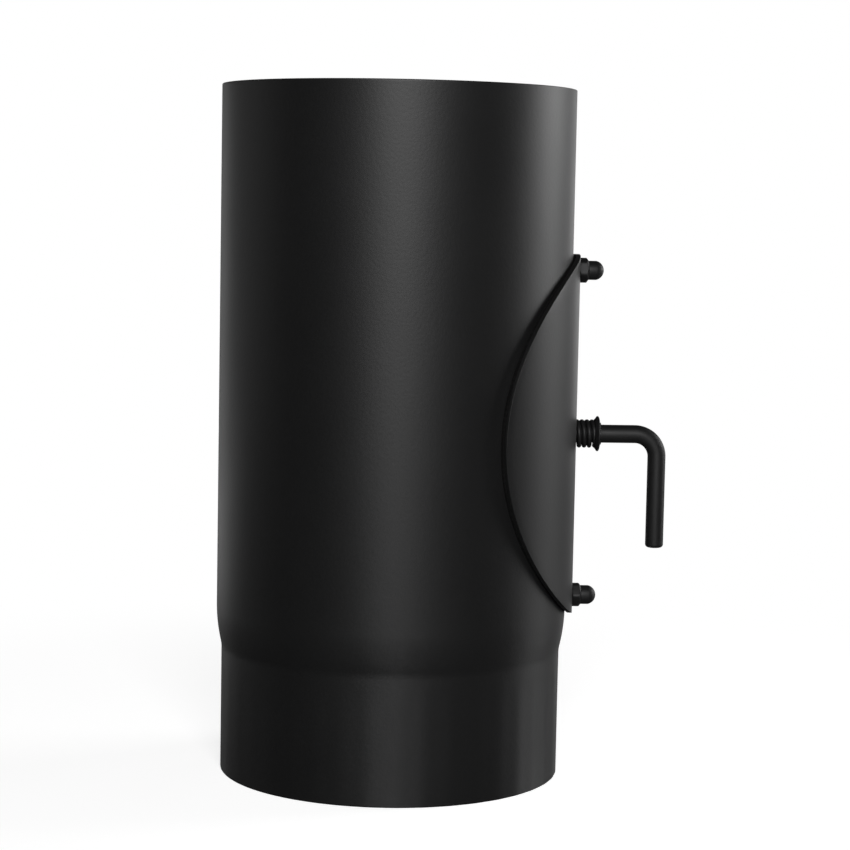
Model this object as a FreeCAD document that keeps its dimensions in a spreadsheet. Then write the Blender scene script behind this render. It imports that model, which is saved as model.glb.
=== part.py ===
import FreeCAD, Part
import math
import os

import Sketcher
from FreeCAD import Base, Placement, Rotation, Vector

# Stove pipe damper: a short flue pipe with a bolted cleaning door and a throttle plate on a spindle.
# The pipe stands on its spigot. Z runs up the pipe's axis, X runs along the spindle towards the handle,
# and the origin is the centre of the spigot's rim. All sizes are in millimetres and degrees.

SIZES = {
    # Pipe
    "pipe_bore": 150.0,
    "pipe_wall": 2.0,
    "pipe_length": 300.0,
    "spigot_play": 0.25,
    "spigot_length": 55.5,
    "shoulder_rise": 18.0,
    "shoulder_corner": 15.0,
    # Cleaning opening, with the door and gasket that close it
    "opening_diameter": 130.0,
    "door_centre": 150.0,
    "door_lap": 14.25,
    "door_plate": 2.0,
    "door_edge": 0.25,
    "gasket_thickness": 1.2,
    "gasket_inset": 1.0,
    # Studs and cap nuts
    "stud_inset": 7.05,
    "stud_diameter": 6.0,
    "stud_reach": 6.5,
    "stud_chamfer": 0.8,
    "stud_hole_play": 0.5,
    "thread_play": 0.05,
    "nut_across_flats": 10.0,
    "nut_across_corners": 11.05,
    "nut_hex_height": 4.2,
    "nut_chamfer": 1.0,
    "nut_dome_diameter": 8.4,
    "nut_dome_rise": 3.4,
    "nut_height": 11.0,
    "nut_hole_spare": 1.0,
    "upper_nut_turn": 49.0,
    "lower_nut_turn": 28.0,
    # Spindle and handle
    "spindle_diameter": 8.0,
    "spindle_play": 0.1,
    "spindle_setback": 0.5,
    "spindle_chamfer": 0.6,
    "handle_reach": 36.8,
    "handle_drop": 50.6,
    "handle_bend": 10.0,
    "handle_round": 1.5,
    # Friction spring and push-on retainers
    "spring_wire": 2.0,
    "spring_play": 0.3,
    "spring_pitch": 2.25,
    "spring_length": 8.3,
    "spring_tip": 0.7,
    "turning_gap": 0.3,
    "retainer_diameter": 15.6,
    "retainer_sheet": 1.0,
    "retainer_dish": 0.9,
    "retainer_height": 2.8,
    "retainer_collar": 0.9,
    "retainer_tongues": 6,
    "retainer_slot_width": 1.0,
    "retainer_slot_run": 0.6,
    # Throttle plate and its screws
    "disc_gap": 3.0,
    "disc_thickness": 2.0,
    "disc_side_play": 2.0,
    "disc_seat_play": 0.5,
    "screw_spacing": 80.0,
    "screw_diameter": 4.0,
    "screw_length": 6.0,
    "screw_head_diameter": 8.0,
    "screw_head_height": 2.6,
    "screw_head_edge": 0.8,
    "screw_slot_width": 1.2,
    "screw_slot_depth": 1.2,
    "screw_hole_play": 0.2,
}

# Places that follow from the sizes, each an expression on the sheet and on the places before it.
PLACES = {
    "pipe_inside": "Sizes.pipe_bore / 2",
    "pipe_outside": "pipe_inside + Sizes.pipe_wall",
    "spigot_outside": "pipe_inside - Sizes.spigot_play",
    "spigot_inside": "spigot_outside - Sizes.pipe_wall",
    "shoulder_top": "Sizes.spigot_length + Sizes.shoulder_rise",
    "shoulder_inner_corner": "Sizes.shoulder_corner + Sizes.pipe_wall",
    "door_inside": "pipe_outside + Sizes.gasket_thickness",
    "door_outside": "door_inside + Sizes.door_plate",
    "opening_half": "Sizes.opening_diameter / 2",
    "door_half": "opening_half + Sizes.door_lap",
    "stud_offset": "door_half - Sizes.stud_inset",
    "upper_stud": "Sizes.door_centre + stud_offset",
    "lower_stud": "Sizes.door_centre - stud_offset",
    "stud_radius": "Sizes.stud_diameter / 2",
    "stud_hole": "stud_radius + Sizes.stud_hole_play",
    "stud_length": "door_outside + Sizes.stud_reach - pipe_inside",
    "nut_flat": "Sizes.nut_across_flats / 2",
    "nut_sharp_corner": "nut_flat / cos(30 deg)",
    "nut_corner": "Sizes.nut_across_corners / 2",
    "nut_chamfer_foot": "Sizes.nut_hex_height - Sizes.nut_chamfer",
    "nut_dome": "Sizes.nut_dome_diameter / 2",
    "nut_dome_foot": "Sizes.nut_height - Sizes.nut_dome_rise",
    "nut_hole": "stud_radius + Sizes.thread_play",
    "nut_hole_depth": "Sizes.stud_reach + Sizes.nut_hole_spare",
    "spindle_radius": "Sizes.spindle_diameter / 2",
    "spindle_hole": "spindle_radius + Sizes.spindle_play",
    "spindle_end": "pipe_outside - Sizes.spindle_setback",
    "handle_leg": "door_outside + Sizes.handle_reach",
    "handle_bend_start": "handle_leg - Sizes.handle_bend",
    "spring_inside": "spindle_radius + Sizes.spring_play",
    "spring_mean": "spring_inside + Sizes.spring_wire / 2",
    "spring_outside": "spring_inside + Sizes.spring_wire",
    "spring_sunk": "Sizes.spring_wire / 2 - Sizes.spring_tip",
    "spring_travel": "Sizes.spring_length + 2 * spring_sunk",
    "outer_retainer_seat": "door_outside + Sizes.spring_length + Sizes.turning_gap",
    "retainer_rim_centre": "Sizes.retainer_diameter / 2 - Sizes.retainer_sheet / 2",
    "retainer_rim_top": "Sizes.retainer_dish + Sizes.retainer_sheet",
    "retainer_collar_outside": "spindle_radius + Sizes.retainer_collar",
    "retainer_slot_end": "retainer_collar_outside + Sizes.retainer_slot_run",
    "retainer_slot_half": "Sizes.retainer_slot_width / 2",
    "inner_retainer_reach": "sqrt(door_inside ^ 2 - (Sizes.retainer_diameter / 2) ^ 2)",
    "inner_retainer_seat": "inner_retainer_reach - Sizes.turning_gap",
    "disc_radius": "pipe_inside - Sizes.disc_gap",
    "disc_side": "opening_half - Sizes.disc_side_play",
    "disc_face": "Sizes.disc_thickness / 2",
    "seat_half_length": "disc_radius + Sizes.disc_seat_play",
    "seat_half_width": "spindle_radius + Sizes.disc_seat_play",
    "screw_offset": "Sizes.screw_spacing / 2",
    "screw_radius": "Sizes.screw_diameter / 2",
    "screw_hole": "screw_radius + Sizes.screw_hole_play",
    "screw_thread_hole": "screw_radius + Sizes.thread_play",
    "screw_head": "Sizes.screw_head_diameter / 2",
    "screw_head_shoulder": "Sizes.screw_head_height - Sizes.screw_head_edge",
    "screw_head_top": "screw_head - Sizes.screw_head_edge",
    "screw_slot_half": "Sizes.screw_slot_width / 2",
}

# Two places closer than this are the same place.
TOUCHING = 1e-6

doc = FreeCAD.newDocument("StovePipeDamper")

sheet = doc.addObject("Spreadsheet::Sheet", "Sizes")
for row, (alias, number) in enumerate(SIZES.items(), start=1):
    sheet.set(f"A{row}", alias)
    sheet.set(f"B{row}", str(number))
    sheet.setAlias(f"B{row}", alias)
doc.recompute()

places = doc.addObject("App::VarSet", "Places")
for name, expression in PLACES.items():
    places.addProperty("App::PropertyFloat", name)
    places.setExpression(name, expression)
doc.recompute()


def source(name):
    """The full name of a size or a place, as expressions use it."""
    return f"Places.{name}" if name in PLACES else f"Sizes.{name}"


def size(name):
    """The value of a size or a place, with a minus sign in front of its name for the opposite side."""
    if name == "":
        return 0.0
    if name.startswith("-"):
        return -size(name[1:])
    return float(getattr(places, name)) if name in PLACES else float(sheet.get(name))


def bind(feature, **names):
    """Bind properties of a feature to sizes or places, each by its name."""
    for prop, name in names.items():
        sign = "-" if name.startswith("-") else ""
        feature.setExpression(prop.replace("__", "."), sign + source(name.lstrip("-")))


def sketch_on(body, plane, name, offset=""):
    """A sketch on one of the body's own origin planes, moved along the plane's normal by a named offset."""
    sketch = body.newObject("Sketcher::SketchObject", name)
    base = [f for f in body.Origin.OriginFeatures if f.Role == plane][0]
    sketch.AttachmentSupport = [(base, "")]
    sketch.MapMode = "FlatFace"
    if offset:
        bind(sketch, AttachmentOffset__Base__z=offset)
    return sketch


def dimension(sketch, kind, where, name):
    """Add a dimension to a sketch and bind it to a size or a place."""
    index = sketch.addConstraint(Sketcher.Constraint(kind, *where, size(name)))
    sketch.setExpression(f"Constraints[{index}]", source(name))


def pin_point(sketch, curve, end, x=None, y=None):
    """Fix a sketch point at named coordinates: an empty name is zero, one left out stays free."""
    for kind, axis, name in (("DistanceX", -2, x), ("DistanceY", -1, y)):
        if name is None:
            continue
        if name == "":
            sketch.addConstraint(Sketcher.Constraint("PointOnObject", curve, end, axis))
        elif name.startswith("-"):
            dimension(sketch, kind, (curve, end, -1, 1), name[1:])
        else:
            dimension(sketch, kind, (-1, 1, curve, end), name)


def arc_between(start, end, x=None, y=None):
    """The anticlockwise arc from start to end whose centre has one named coordinate."""
    if x is not None:
        across = size(x)
        rise = (start.x - across) ** 2 - (end.x - across) ** 2 + start.y ** 2 - end.y ** 2
        centre = Vector(across, rise / (2 * (start.y - end.y)), 0)
    else:
        height = size(y)
        reach = (start.y - height) ** 2 - (end.y - height) ** 2 + start.x ** 2 - end.x ** 2
        centre = Vector(reach / (2 * (start.x - end.x)), height, 0)
    first, last = start - centre, end - centre
    angles = [math.atan2(spoke.y, spoke.x) for spoke in (first, last)]
    return Part.ArcOfCircle(Part.Circle(centre, Vector(0, 0, 1), first.Length), *angles)


def draw(sketch, corners):
    """Draw a closed outline, anticlockwise through corners given as pairs of names.

    A corner that an arc starts from also gives the name of one coordinate of its centre, as {"x": name}.
    """
    points = [Vector(size(x), size(y), 0) for x, y, *centre in corners]
    ends = points[1:] + points[:1]
    for start, end, (x, y, *centre) in zip(points, ends, corners):
        sketch.addGeometry(arc_between(start, end, **centre[0]) if centre else Part.LineSegment(start, end))
    for side, (x, y, *centre) in enumerate(corners):
        before = (side - 1) % len(corners)
        sketch.addConstraint(Sketcher.Constraint("Coincident", before, 2, side, 1))
        pin_point(sketch, side, 1, x, y)
    for side, (x, y, *centre) in enumerate(corners):
        if centre:
            pin_point(sketch, side, 3, **centre[0])


def circles(sketch, radius, centres):
    """Draw equal circles in a sketch, at centres given as pairs of names."""
    for x, y in centres:
        middle = Vector(size(x), size(y), 0)
        curve = sketch.addGeometry(Part.Circle(middle, Vector(0, 0, 1), size(radius)))
        dimension(sketch, "Radius", (curve,), radius)
        pin_point(sketch, curve, 3, x, y)


def turned(body, kind, sketch):
    """Turn a sketch once round its vertical axis, as a Revolution or a Groove."""
    feature = body.newObject("PartDesign::" + kind, sketch.Name + kind)
    feature.Profile = sketch
    feature.ReferenceAxis = (sketch, ["V_Axis"])
    feature.Angle = 360
    doc.recompute()
    return feature


def cut_through(body, sketch, reverse=False):
    """Cut a sketch right through the body, against the sketch's normal or along it, and check that it cut."""
    before = body.Shape.Volume
    feature = body.newObject("PartDesign::Pocket", sketch.Name + "Cut")
    feature.Profile = sketch
    feature.Type = "ThroughAll"
    feature.Reversed = reverse
    doc.recompute()
    if body.Shape.Volume >= before:
        raise RuntimeError(f"{feature.Name} cut nothing")
    return feature


def first_rim(shape, place):
    """The name of the closed edge that comes first by a measure of its box."""
    rims = [(place(edge.BoundBox), n) for n, edge in enumerate(shape.Edges, start=1) if edge.Closed]
    return f"Edge{min(rims)[1]}"


def rod(name, radius, length):
    """A plain cylinder along X, for a hole or a bar, with its near end at the pipe's axis."""
    bar = doc.addObject("Part::Cylinder", name)
    bind(bar, Radius=radius, Height=length, Placement__Base__z="door_centre")
    bar.Placement.Rotation = Rotation(Vector(0, 1, 0), 90)
    return bar


def group(label, members):
    """One node of separate solids."""
    whole = doc.addObject("Part::Compound", label)
    whole.Links = members
    return whole


def cut(label, base, tools):
    """A node cut by one or more tools."""
    result = doc.addObject("Part::Cut", label)
    result.Base = base
    result.Tool = tools[0] if len(tools) == 1 else group(label + "_tools", tools)
    return result


def rolled_face(radius, neutral, half_width):
    """A circle of this half width, cut from flat sheet and rolled to a radius, on the side away from +X.

    neutral is the radius at which the sheet keeps its flat length.
    """
    surface = Part.Cylinder()
    surface.Radius = radius
    centre = Base.Vector2d(math.pi, size("door_centre"))
    top = Base.Vector2d(math.pi, size("door_centre") + half_width)
    side = Base.Vector2d(math.pi + half_width / neutral, size("door_centre"))
    outline = Part.Geom2d.Ellipse2d(top, side, centre)
    return Part.Face(surface, Part.Wire([outline.toShape(surface)]))


def rolled_plate(name, inside, outside, half_width, edge=0.0):
    """A round plate rolled about the pipe's axis, with radial edges and an optional bevel outside.

    The outline is a circle in the flat sheet, so the plate is a shape of its own and not a primitive.
    """
    neutral = (inside + outside) / 2
    faces = [rolled_face(inside, neutral, half_width)]
    if edge:
        faces.append(rolled_face(outside - edge, neutral, half_width))
    faces.append(rolled_face(outside, neutral, half_width - edge))
    rims = [Part.makeRuledSurface(a.Edges[0], b.Edges[0]) for a, b in zip(faces, faces[1:])]
    shell = Part.makeShell([faces[0], faces[-1], *rims])
    shell.sewShape()
    solid = Part.makeSolid(shell)
    plate = doc.addObject("Part::Feature", name)
    plate.Shape = solid if solid.Volume > 0 else solid.reversed()
    plate.Placement = Placement(Vector(), Rotation(Vector(0, 0, 1), 180))
    return plate


def pipe_form(body, kind, name, lower, upper, corner):
    """Turn the pipe's stepped form, solid or hollow, and round its corner above the spigot."""
    profile = sketch_on(body, "XZ_Plane", name)
    corners = [
        ("", ""),
        (lower, ""),
        (lower, "spigot_length", {"y": "shoulder_top"}),
        (upper, "shoulder_top"),
        (upper, "pipe_length"),
        ("", "pipe_length"),
    ]
    draw(profile, corners)
    form = turned(body, kind, profile)
    neck = [
        f"Edge{n}"
        for n, edge in enumerate(form.Shape.Edges, start=1)
        if edge.Closed and abs(edge.BoundBox.ZMax - size("spigot_length")) < TOUCHING
    ]
    rounded = body.newObject("PartDesign::Fillet", name + "Corner")
    rounded.Base = (form, neck)
    bind(rounded, Radius=corner)
    doc.recompute()


def make_pipe():
    """The pipe: a turned outer form, hollowed to the sheet's thickness, with its holes and the opening."""
    body = doc.addObject("PartDesign::Body", "Pipe")
    pipe_form(body, "Revolution", "PipeOutside", "spigot_outside", "pipe_outside", "shoulder_corner")
    pipe_form(body, "Groove", "PipeInside", "spigot_inside", "pipe_inside", "shoulder_inner_corner")

    bearing = sketch_on(body, "YZ_Plane", "BearingHole")
    circles(bearing, "spindle_hole", [("", "door_centre")])
    cut_through(body, bearing)
    feet = sketch_on(body, "YZ_Plane", "StudHoles")
    circles(feet, "stud_radius", [("", "upper_stud"), ("", "lower_stud")])
    cut_through(body, feet, reverse=True)

    half_wall = size("pipe_wall") / 2
    opening = rolled_plate(
        "opening_cutter",
        size("pipe_inside") - half_wall,
        size("pipe_outside") + half_wall,
        size("opening_half"),
    )
    return cut("pipe_body", body, [opening])


def door_holes(name, radius, heights):
    """Round holes along X through the door's side, one at each named height."""
    holes = []
    for height in heights:
        hole = rod(f"{name}_{height}", radius, "handle_leg")
        bind(hole, Placement__Base__z=height)
        holes.append(hole)
    return holes


def make_door():
    """The cleaning door: a round plate rolled to the pipe, with its stud holes and the spindle hole."""
    blank = rolled_plate(
        "door_blank",
        size("door_inside"),
        size("door_outside"),
        size("door_half"),
        size("door_edge"),
    )
    holes = door_holes("door_stud_hole", "stud_hole", ["upper_stud", "lower_stud"])
    holes += door_holes("door_spindle_hole", "spindle_hole", ["door_centre"])
    return cut("cleaning_door", blank, holes)


def make_gasket():
    """The gasket: a flat ring between the door and the pipe, inset from the door's edge and the opening."""
    inside, outside = size("pipe_outside"), size("door_inside")
    half_sheet = (outside - inside) / 2
    inset = size("gasket_inset")
    ring = rolled_plate("gasket_blank", inside, outside, size("door_half") - inset)
    middle = rolled_plate(
        "gasket_middle",
        inside - half_sheet,
        outside + half_sheet,
        size("opening_half") + inset,
    )
    holes = door_holes("gasket_stud_hole", "stud_hole", ["upper_stud", "lower_stud"])
    return cut("door_gasket", ring, [middle, *holes])


def make_studs():
    """Two studs, welded flush in the pipe's wall, with bevelled tips."""
    studs = []
    for height in ("upper_stud", "lower_stud"):
        shank = rod(height + "_shank", "stud_radius", "stud_length")
        bind(shank, Placement__Base__x="pipe_inside", Placement__Base__z=height)
        doc.recompute()
        tip = [
            n
            for n, edge in enumerate(shank.Shape.Edges, start=1)
            if edge.BoundBox.XMin > size("door_outside")
        ]
        stud = doc.addObject("Part::Chamfer", height)
        stud.Base = shank
        stud.Edges = [(n, size("stud_chamfer"), size("stud_chamfer")) for n in tip]
        studs.append(stud)
    return group("door_studs", studs)


def make_cap_nut(height, turn):
    """One domed nut, seated on the door at a named height and turned about its own axis."""
    body = doc.addObject("PartDesign::Body", f"CapNut_{height}")
    outline = sketch_on(body, "XY_Plane", "Hexagon")
    corner = size("nut_sharp_corner")
    angles = [math.radians(degrees) for degrees in range(0, 360, 60)]
    points = [Vector(corner * math.cos(angle), corner * math.sin(angle), 0) for angle in angles]
    for start, end in zip(points, points[1:] + points[:1]):
        outline.addGeometry(Part.LineSegment(start, end))
    rim = outline.addGeometry(Part.Circle(Vector(), Vector(0, 0, 1), corner), True)
    sides = range(len(points))
    for side in sides:
        outline.addConstraint(Sketcher.Constraint("Coincident", side - 1 if side else sides[-1], 2, side, 1))
        outline.addConstraint(Sketcher.Constraint("PointOnObject", side, 1, rim))
        if side:
            outline.addConstraint(Sketcher.Constraint("Equal", 0, side))
    outline.addConstraint(Sketcher.Constraint("Coincident", rim, 3, -1, 1))
    outline.addConstraint(Sketcher.Constraint("PointOnObject", 0, 1, -1))
    dimension(outline, "Radius", (rim,), "nut_sharp_corner")
    hexagon = body.newObject("PartDesign::Pad", "HexagonPad")
    hexagon.Profile = outline
    bind(hexagon, Length="nut_hex_height")
    doc.recompute()

    shoulder = sketch_on(body, "XZ_Plane", "HexagonCorners")
    corners = [
        ("nut_dome", "nut_hex_height"),
        ("nut_corner", "nut_chamfer_foot"),
        ("nut_corner", ""),
        ("nut_sharp_corner", ""),
        ("nut_sharp_corner", "nut_hex_height"),
    ]
    draw(shoulder, corners)
    turned(body, "Groove", shoulder)

    dome = sketch_on(body, "XZ_Plane", "Dome")
    draw(dome, [("", ""), ("nut_dome", ""), ("nut_dome", "nut_dome_foot", {"x": ""}), ("", "nut_height")])
    turned(body, "Revolution", dome)

    thread = sketch_on(body, "XZ_Plane", "ThreadHole")
    draw(thread, [("", ""), ("nut_hole", ""), ("nut_hole", "nut_hole_depth"), ("", "nut_hole_depth")])
    turned(body, "Groove", thread)

    bind(body, Placement__Base__x="door_outside", Placement__Base__z=height)
    body.Placement.Rotation = Rotation(Vector(1, 0, 0), size(turn)) * Rotation(Vector(0, 1, 0), 90)
    return body


def make_spindle():
    """The spindle and handle: one round bar, bent down outside, with a flat seat for the throttle plate."""
    body = doc.addObject("PartDesign::Body", "spindle_handle")
    path = sketch_on(body, "XZ_Plane", "HandlePath")
    bend = size("handle_bend")
    start = Vector(-size("spindle_end"), 0, 0)
    before = Vector(size("handle_bend_start"), 0, 0)
    after = Vector(size("handle_leg"), -bend, 0)
    end = Vector(size("handle_leg"), -size("handle_drop"), 0)
    turn = Part.Circle(before - Vector(0, bend, 0), Vector(0, 0, 1), bend)
    shaft = path.addGeometry(Part.LineSegment(start, before))
    arc = path.addGeometry(Part.ArcOfCircle(turn, 0, math.pi / 2))
    leg = path.addGeometry(Part.LineSegment(after, end))
    path.addConstraint(Sketcher.Constraint("Tangent", shaft, 2, arc, 2))
    path.addConstraint(Sketcher.Constraint("Tangent", arc, 1, leg, 1))
    path.addConstraint(Sketcher.Constraint("Vertical", leg))
    pin_point(path, shaft, 1, "-spindle_end", "")
    pin_point(path, shaft, 2, "handle_bend_start", "")
    pin_point(path, leg, 2, "handle_leg", "-handle_drop")

    section = sketch_on(body, "YZ_Plane", "BarSection", "-spindle_end")
    circles(section, "spindle_radius", [("", "")])
    bar = body.newObject("PartDesign::AdditivePipe", "Bar")
    bar.Profile = section
    bar.Spine = (path, ["Edge1", "Edge2", "Edge3"])
    doc.recompute()

    seat = sketch_on(body, "XZ_Plane", "DiscSeat", "-disc_face")
    corners = [
        ("-seat_half_length", "-seat_half_width"),
        ("seat_half_length", "-seat_half_width"),
        ("seat_half_length", "seat_half_width"),
        ("-seat_half_length", "seat_half_width"),
    ]
    draw(seat, corners)
    cut_through(body, seat, reverse=True)

    threads = sketch_on(body, "XZ_Plane", "ScrewThreads")
    circles(threads, "screw_thread_hole", [("screw_offset", ""), ("-screw_offset", "")])
    bored = cut_through(body, threads)

    foot = body.newObject("PartDesign::Fillet", "HandleFoot")
    foot.Base = (bored, [first_rim(bored.Shape, lambda box: box.ZMax)])
    bind(foot, Radius="handle_round")
    doc.recompute()
    far_end = body.newObject("PartDesign::Chamfer", "SpindleEnd")
    far_end.Base = (foot, [first_rim(foot.Shape, lambda box: box.XMax)])
    bind(far_end, Size="spindle_chamfer")
    doc.recompute()
    bind(body, Placement__Base__z="door_centre")
    return body


def make_spring():
    """The friction spring: a helix of round wire, with its ends ground flat to thin tips."""
    helix = doc.addObject("Part::Helix", "SpringPath")
    bind(helix, Radius="spring_mean", Pitch="spring_pitch", Height="spring_travel")
    wire = doc.addObject("Part::Circle", "SpringSection")
    wire.setExpression("Radius", "Sizes.spring_wire / 2")
    bind(wire, Placement__Base__x="spring_mean")
    wire.Placement.Rotation = Rotation(Vector(1, 0, 0), 90)
    doc.recompute()
    coil = doc.addObject("Part::Sweep", "SpringCoil")
    coil.Sections = [wire]
    coil.Spine = (helix, [f"Edge{n}" for n in range(1, len(helix.Shape.Edges) + 1)])
    coil.Solid = True
    coil.Frenet = True
    ends = doc.addObject("Part::Cylinder", "SpringEnds")
    ends.setExpression("Radius", "Places.spring_outside + Sizes.spring_wire")
    bind(ends, Height="spring_length", Placement__Base__z="spring_sunk")
    spring = doc.addObject("Part::Common", "friction_spring")
    spring.Base = coil
    spring.Tool = ends
    spring.setExpression("Placement.Base.x", "Places.door_outside - Places.spring_sunk")
    bind(spring, Placement__Base__z="door_centre")
    spring.Placement.Rotation = Rotation(Vector(0, 1, 0), 90)
    return spring


def make_retainer(label, seat, angle):
    """One push-on washer: a flat seat, a dished rim and a collar slit into tongues that grip the spindle."""
    body = doc.addObject("PartDesign::Body", label)
    profile = sketch_on(body, "XZ_Plane", "WasherProfile")
    corners = [
        ("spindle_radius", ""),
        ("spring_outside", ""),
        ("retainer_rim_centre", "retainer_dish", {"x": "retainer_rim_centre"}),
        ("retainer_rim_centre", "retainer_rim_top"),
        ("spring_outside", "retainer_sheet"),
        ("retainer_collar_outside", "retainer_sheet"),
        ("retainer_collar_outside", "retainer_height"),
        ("spindle_radius", "retainer_height"),
    ]
    draw(profile, corners)
    turned(body, "Revolution", profile)

    slot = sketch_on(body, "XY_Plane", "TongueSlot")
    corners = [
        ("", "-retainer_slot_half"),
        ("retainer_slot_end", "-retainer_slot_half"),
        ("retainer_slot_end", "retainer_slot_half"),
        ("", "retainer_slot_half"),
    ]
    draw(slot, corners)
    first_slot = cut_through(body, slot, reverse=True)
    tongues = body.newObject("PartDesign::PolarPattern", "Tongues")
    tongues.Originals = [first_slot]
    tongues.Axis = (slot, ["N_Axis"])
    tongues.Angle = 360
    tongues.setExpression("Occurrences", "round(Sizes.retainer_tongues)")
    body.Tip = tongues
    doc.recompute()
    bind(body, Placement__Base__x=seat, Placement__Base__z="door_centre")
    body.Placement.Rotation = Rotation(Vector(0, 1, 0), angle)
    return body


def make_disc():
    """The throttle plate: a round plate with two straight sides, which let it out through the opening."""
    body = doc.addObject("PartDesign::Body", "damper_disc")
    outline = sketch_on(body, "XZ_Plane", "DiscOutline")
    radius, side = size("disc_radius"), size("disc_side")
    half_chord = math.sqrt(radius ** 2 - side ** 2)
    low, high = math.atan2(-side, half_chord), math.atan2(side, half_chord)
    circle = Part.Circle(Vector(), Vector(0, 0, 1), radius)
    near = outline.addGeometry(Part.ArcOfCircle(circle, low, high))
    top_ends = (Vector(half_chord, side, 0), Vector(-half_chord, side, 0))
    top = outline.addGeometry(Part.LineSegment(*top_ends))
    far = outline.addGeometry(Part.ArcOfCircle(circle, math.pi + low, math.pi + high))
    bottom_ends = (Vector(-half_chord, -side, 0), Vector(half_chord, -side, 0))
    bottom = outline.addGeometry(Part.LineSegment(*bottom_ends))
    for curve, following in ((near, top), (top, far), (far, bottom), (bottom, near)):
        outline.addConstraint(Sketcher.Constraint("Coincident", curve, 2, following, 1))
    for arc in (near, far):
        outline.addConstraint(Sketcher.Constraint("Coincident", arc, 3, -1, 1))
    for chord in (top, bottom):
        outline.addConstraint(Sketcher.Constraint("Horizontal", chord))
    outline.addConstraint(Sketcher.Constraint("Equal", near, far))
    dimension(outline, "Radius", (near,), "disc_radius")
    dimension(outline, "DistanceY", (-1, 1, top, 1), "disc_side")
    dimension(outline, "DistanceY", (bottom, 1, -1, 1), "disc_side")
    circles(outline, "screw_hole", [("screw_offset", ""), ("-screw_offset", "")])
    plate = body.newObject("PartDesign::Pad", "DiscPlate")
    plate.Profile = outline
    plate.SideType = "Symmetric"
    bind(plate, Length="disc_thickness")
    bind(body, Placement__Base__z="door_centre")
    doc.recompute()
    return body


def make_screw(place):
    """One slotted pan-head screw, driven through the throttle plate into the spindle's seat."""
    body = doc.addObject("PartDesign::Body", "DiscScrew" + ("Far" if place.startswith("-") else "Near"))
    profile = sketch_on(body, "XZ_Plane", "ScrewProfile")
    corners = [
        ("", "-screw_length"),
        ("screw_radius", "-screw_length"),
        ("screw_radius", ""),
        ("screw_head", ""),
        ("screw_head", "screw_head_shoulder"),
        ("screw_head_top", "screw_head_height"),
        ("", "screw_head_height"),
    ]
    draw(profile, corners)
    turned(body, "Revolution", profile)
    slot = sketch_on(body, "XY_Plane", "ScrewSlot", "screw_head_height")
    corners = [
        ("-screw_head", "-screw_slot_half"),
        ("screw_head", "-screw_slot_half"),
        ("screw_head", "screw_slot_half"),
        ("-screw_head", "screw_slot_half"),
    ]
    draw(slot, corners)
    groove = body.newObject("PartDesign::Pocket", "ScrewSlotCut")
    groove.Profile = slot
    bind(groove, Length="screw_slot_depth")
    doc.recompute()
    bind(body, Placement__Base__x=place, Placement__Base__y="-disc_face", Placement__Base__z="door_centre")
    body.Placement.Rotation = Rotation(Vector(1, 0, 0), 90)
    return body


nodes = [
    make_pipe(),
    make_door(),
    make_gasket(),
    make_studs(),
    group(
        "cap_nuts",
        [make_cap_nut("upper_stud", "upper_nut_turn"), make_cap_nut("lower_stud", "lower_nut_turn")],
    ),
    make_spring(),
    make_spindle(),
    make_retainer("outer_retainer", "outer_retainer_seat", 90),
    make_retainer("inner_retainer", "inner_retainer_seat", -90),
    make_disc(),
    group("disc_screws", [make_screw("screw_offset"), make_screw("-screw_offset")]),
]
doc.recompute()

for item in doc.Objects:
    if "Invalid" in item.State or "Error" in item.State:
        raise RuntimeError(f"{item.Label} failed: {item.State}")
for node in nodes:
    if node.Shape.isNull() or not node.Shape.isValid():
        raise RuntimeError(f"{node.Label} has no valid shape")

os.makedirs("parts", exist_ok=True)
for node in nodes:
    node.Shape.exportStep(f"parts/{node.Label}.step")
    box = node.Shape.BoundBox
    print(
        f"{node.Label}: {len(node.Shape.Solids)} solids, {node.Shape.Volume:.1f} mm3, "
        f"x {box.XMin:.2f} to {box.XMax:.2f}, y {box.YMin:.2f} to {box.YMax:.2f}, "
        f"z {box.ZMin:.2f} to {box.ZMax:.2f}"
    )
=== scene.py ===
"""Dress the stove pipe damper: a painted flue pipe, its cleaning door and the sprung throttle spindle."""

import logging
import math
from abc import ABC, abstractmethod
from collections.abc import Callable, Iterable, Sequence
from dataclasses import dataclass
from enum import Enum
from functools import cache, partial
from typing import Any

import bpy
import numpy as np
from mathutils import Matrix, Vector


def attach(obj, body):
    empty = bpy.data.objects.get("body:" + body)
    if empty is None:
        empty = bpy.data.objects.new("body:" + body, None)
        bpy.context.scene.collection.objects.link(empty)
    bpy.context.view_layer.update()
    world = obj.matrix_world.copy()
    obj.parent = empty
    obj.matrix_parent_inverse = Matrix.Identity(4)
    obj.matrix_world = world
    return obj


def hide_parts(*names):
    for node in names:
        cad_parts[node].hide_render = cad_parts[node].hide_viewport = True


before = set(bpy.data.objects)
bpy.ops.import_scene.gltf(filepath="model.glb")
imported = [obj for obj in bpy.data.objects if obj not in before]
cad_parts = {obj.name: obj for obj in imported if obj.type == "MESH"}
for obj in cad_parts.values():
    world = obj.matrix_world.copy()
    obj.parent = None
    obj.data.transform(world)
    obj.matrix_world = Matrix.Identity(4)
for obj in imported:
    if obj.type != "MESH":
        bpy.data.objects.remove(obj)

LOG = logging.getLogger("stove_pipe_damper")
MM = 0.001
FULL_TURN = 2 * math.pi

# Mesh settings, in millimetres, degrees and points
MERGE_DISTANCE = 0.002
CRISP_DEGREES = 32.0
DRILL_REACH = 10.0
DRILL_STEPS = 48

# The Mix node's colour sockets share their names with its number sockets, so they go by their places
MIX_LOW = 6
MIX_HIGH = 7
MIX_RESULT = 2
NOISE_MIDDLE = 0.5

Point = tuple[float, float, float]
Pair = tuple[float, float]
Colour = tuple[float, float, float]
Settings = dict[str, Any]
Sockets = dict[str | int, Any]


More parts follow.
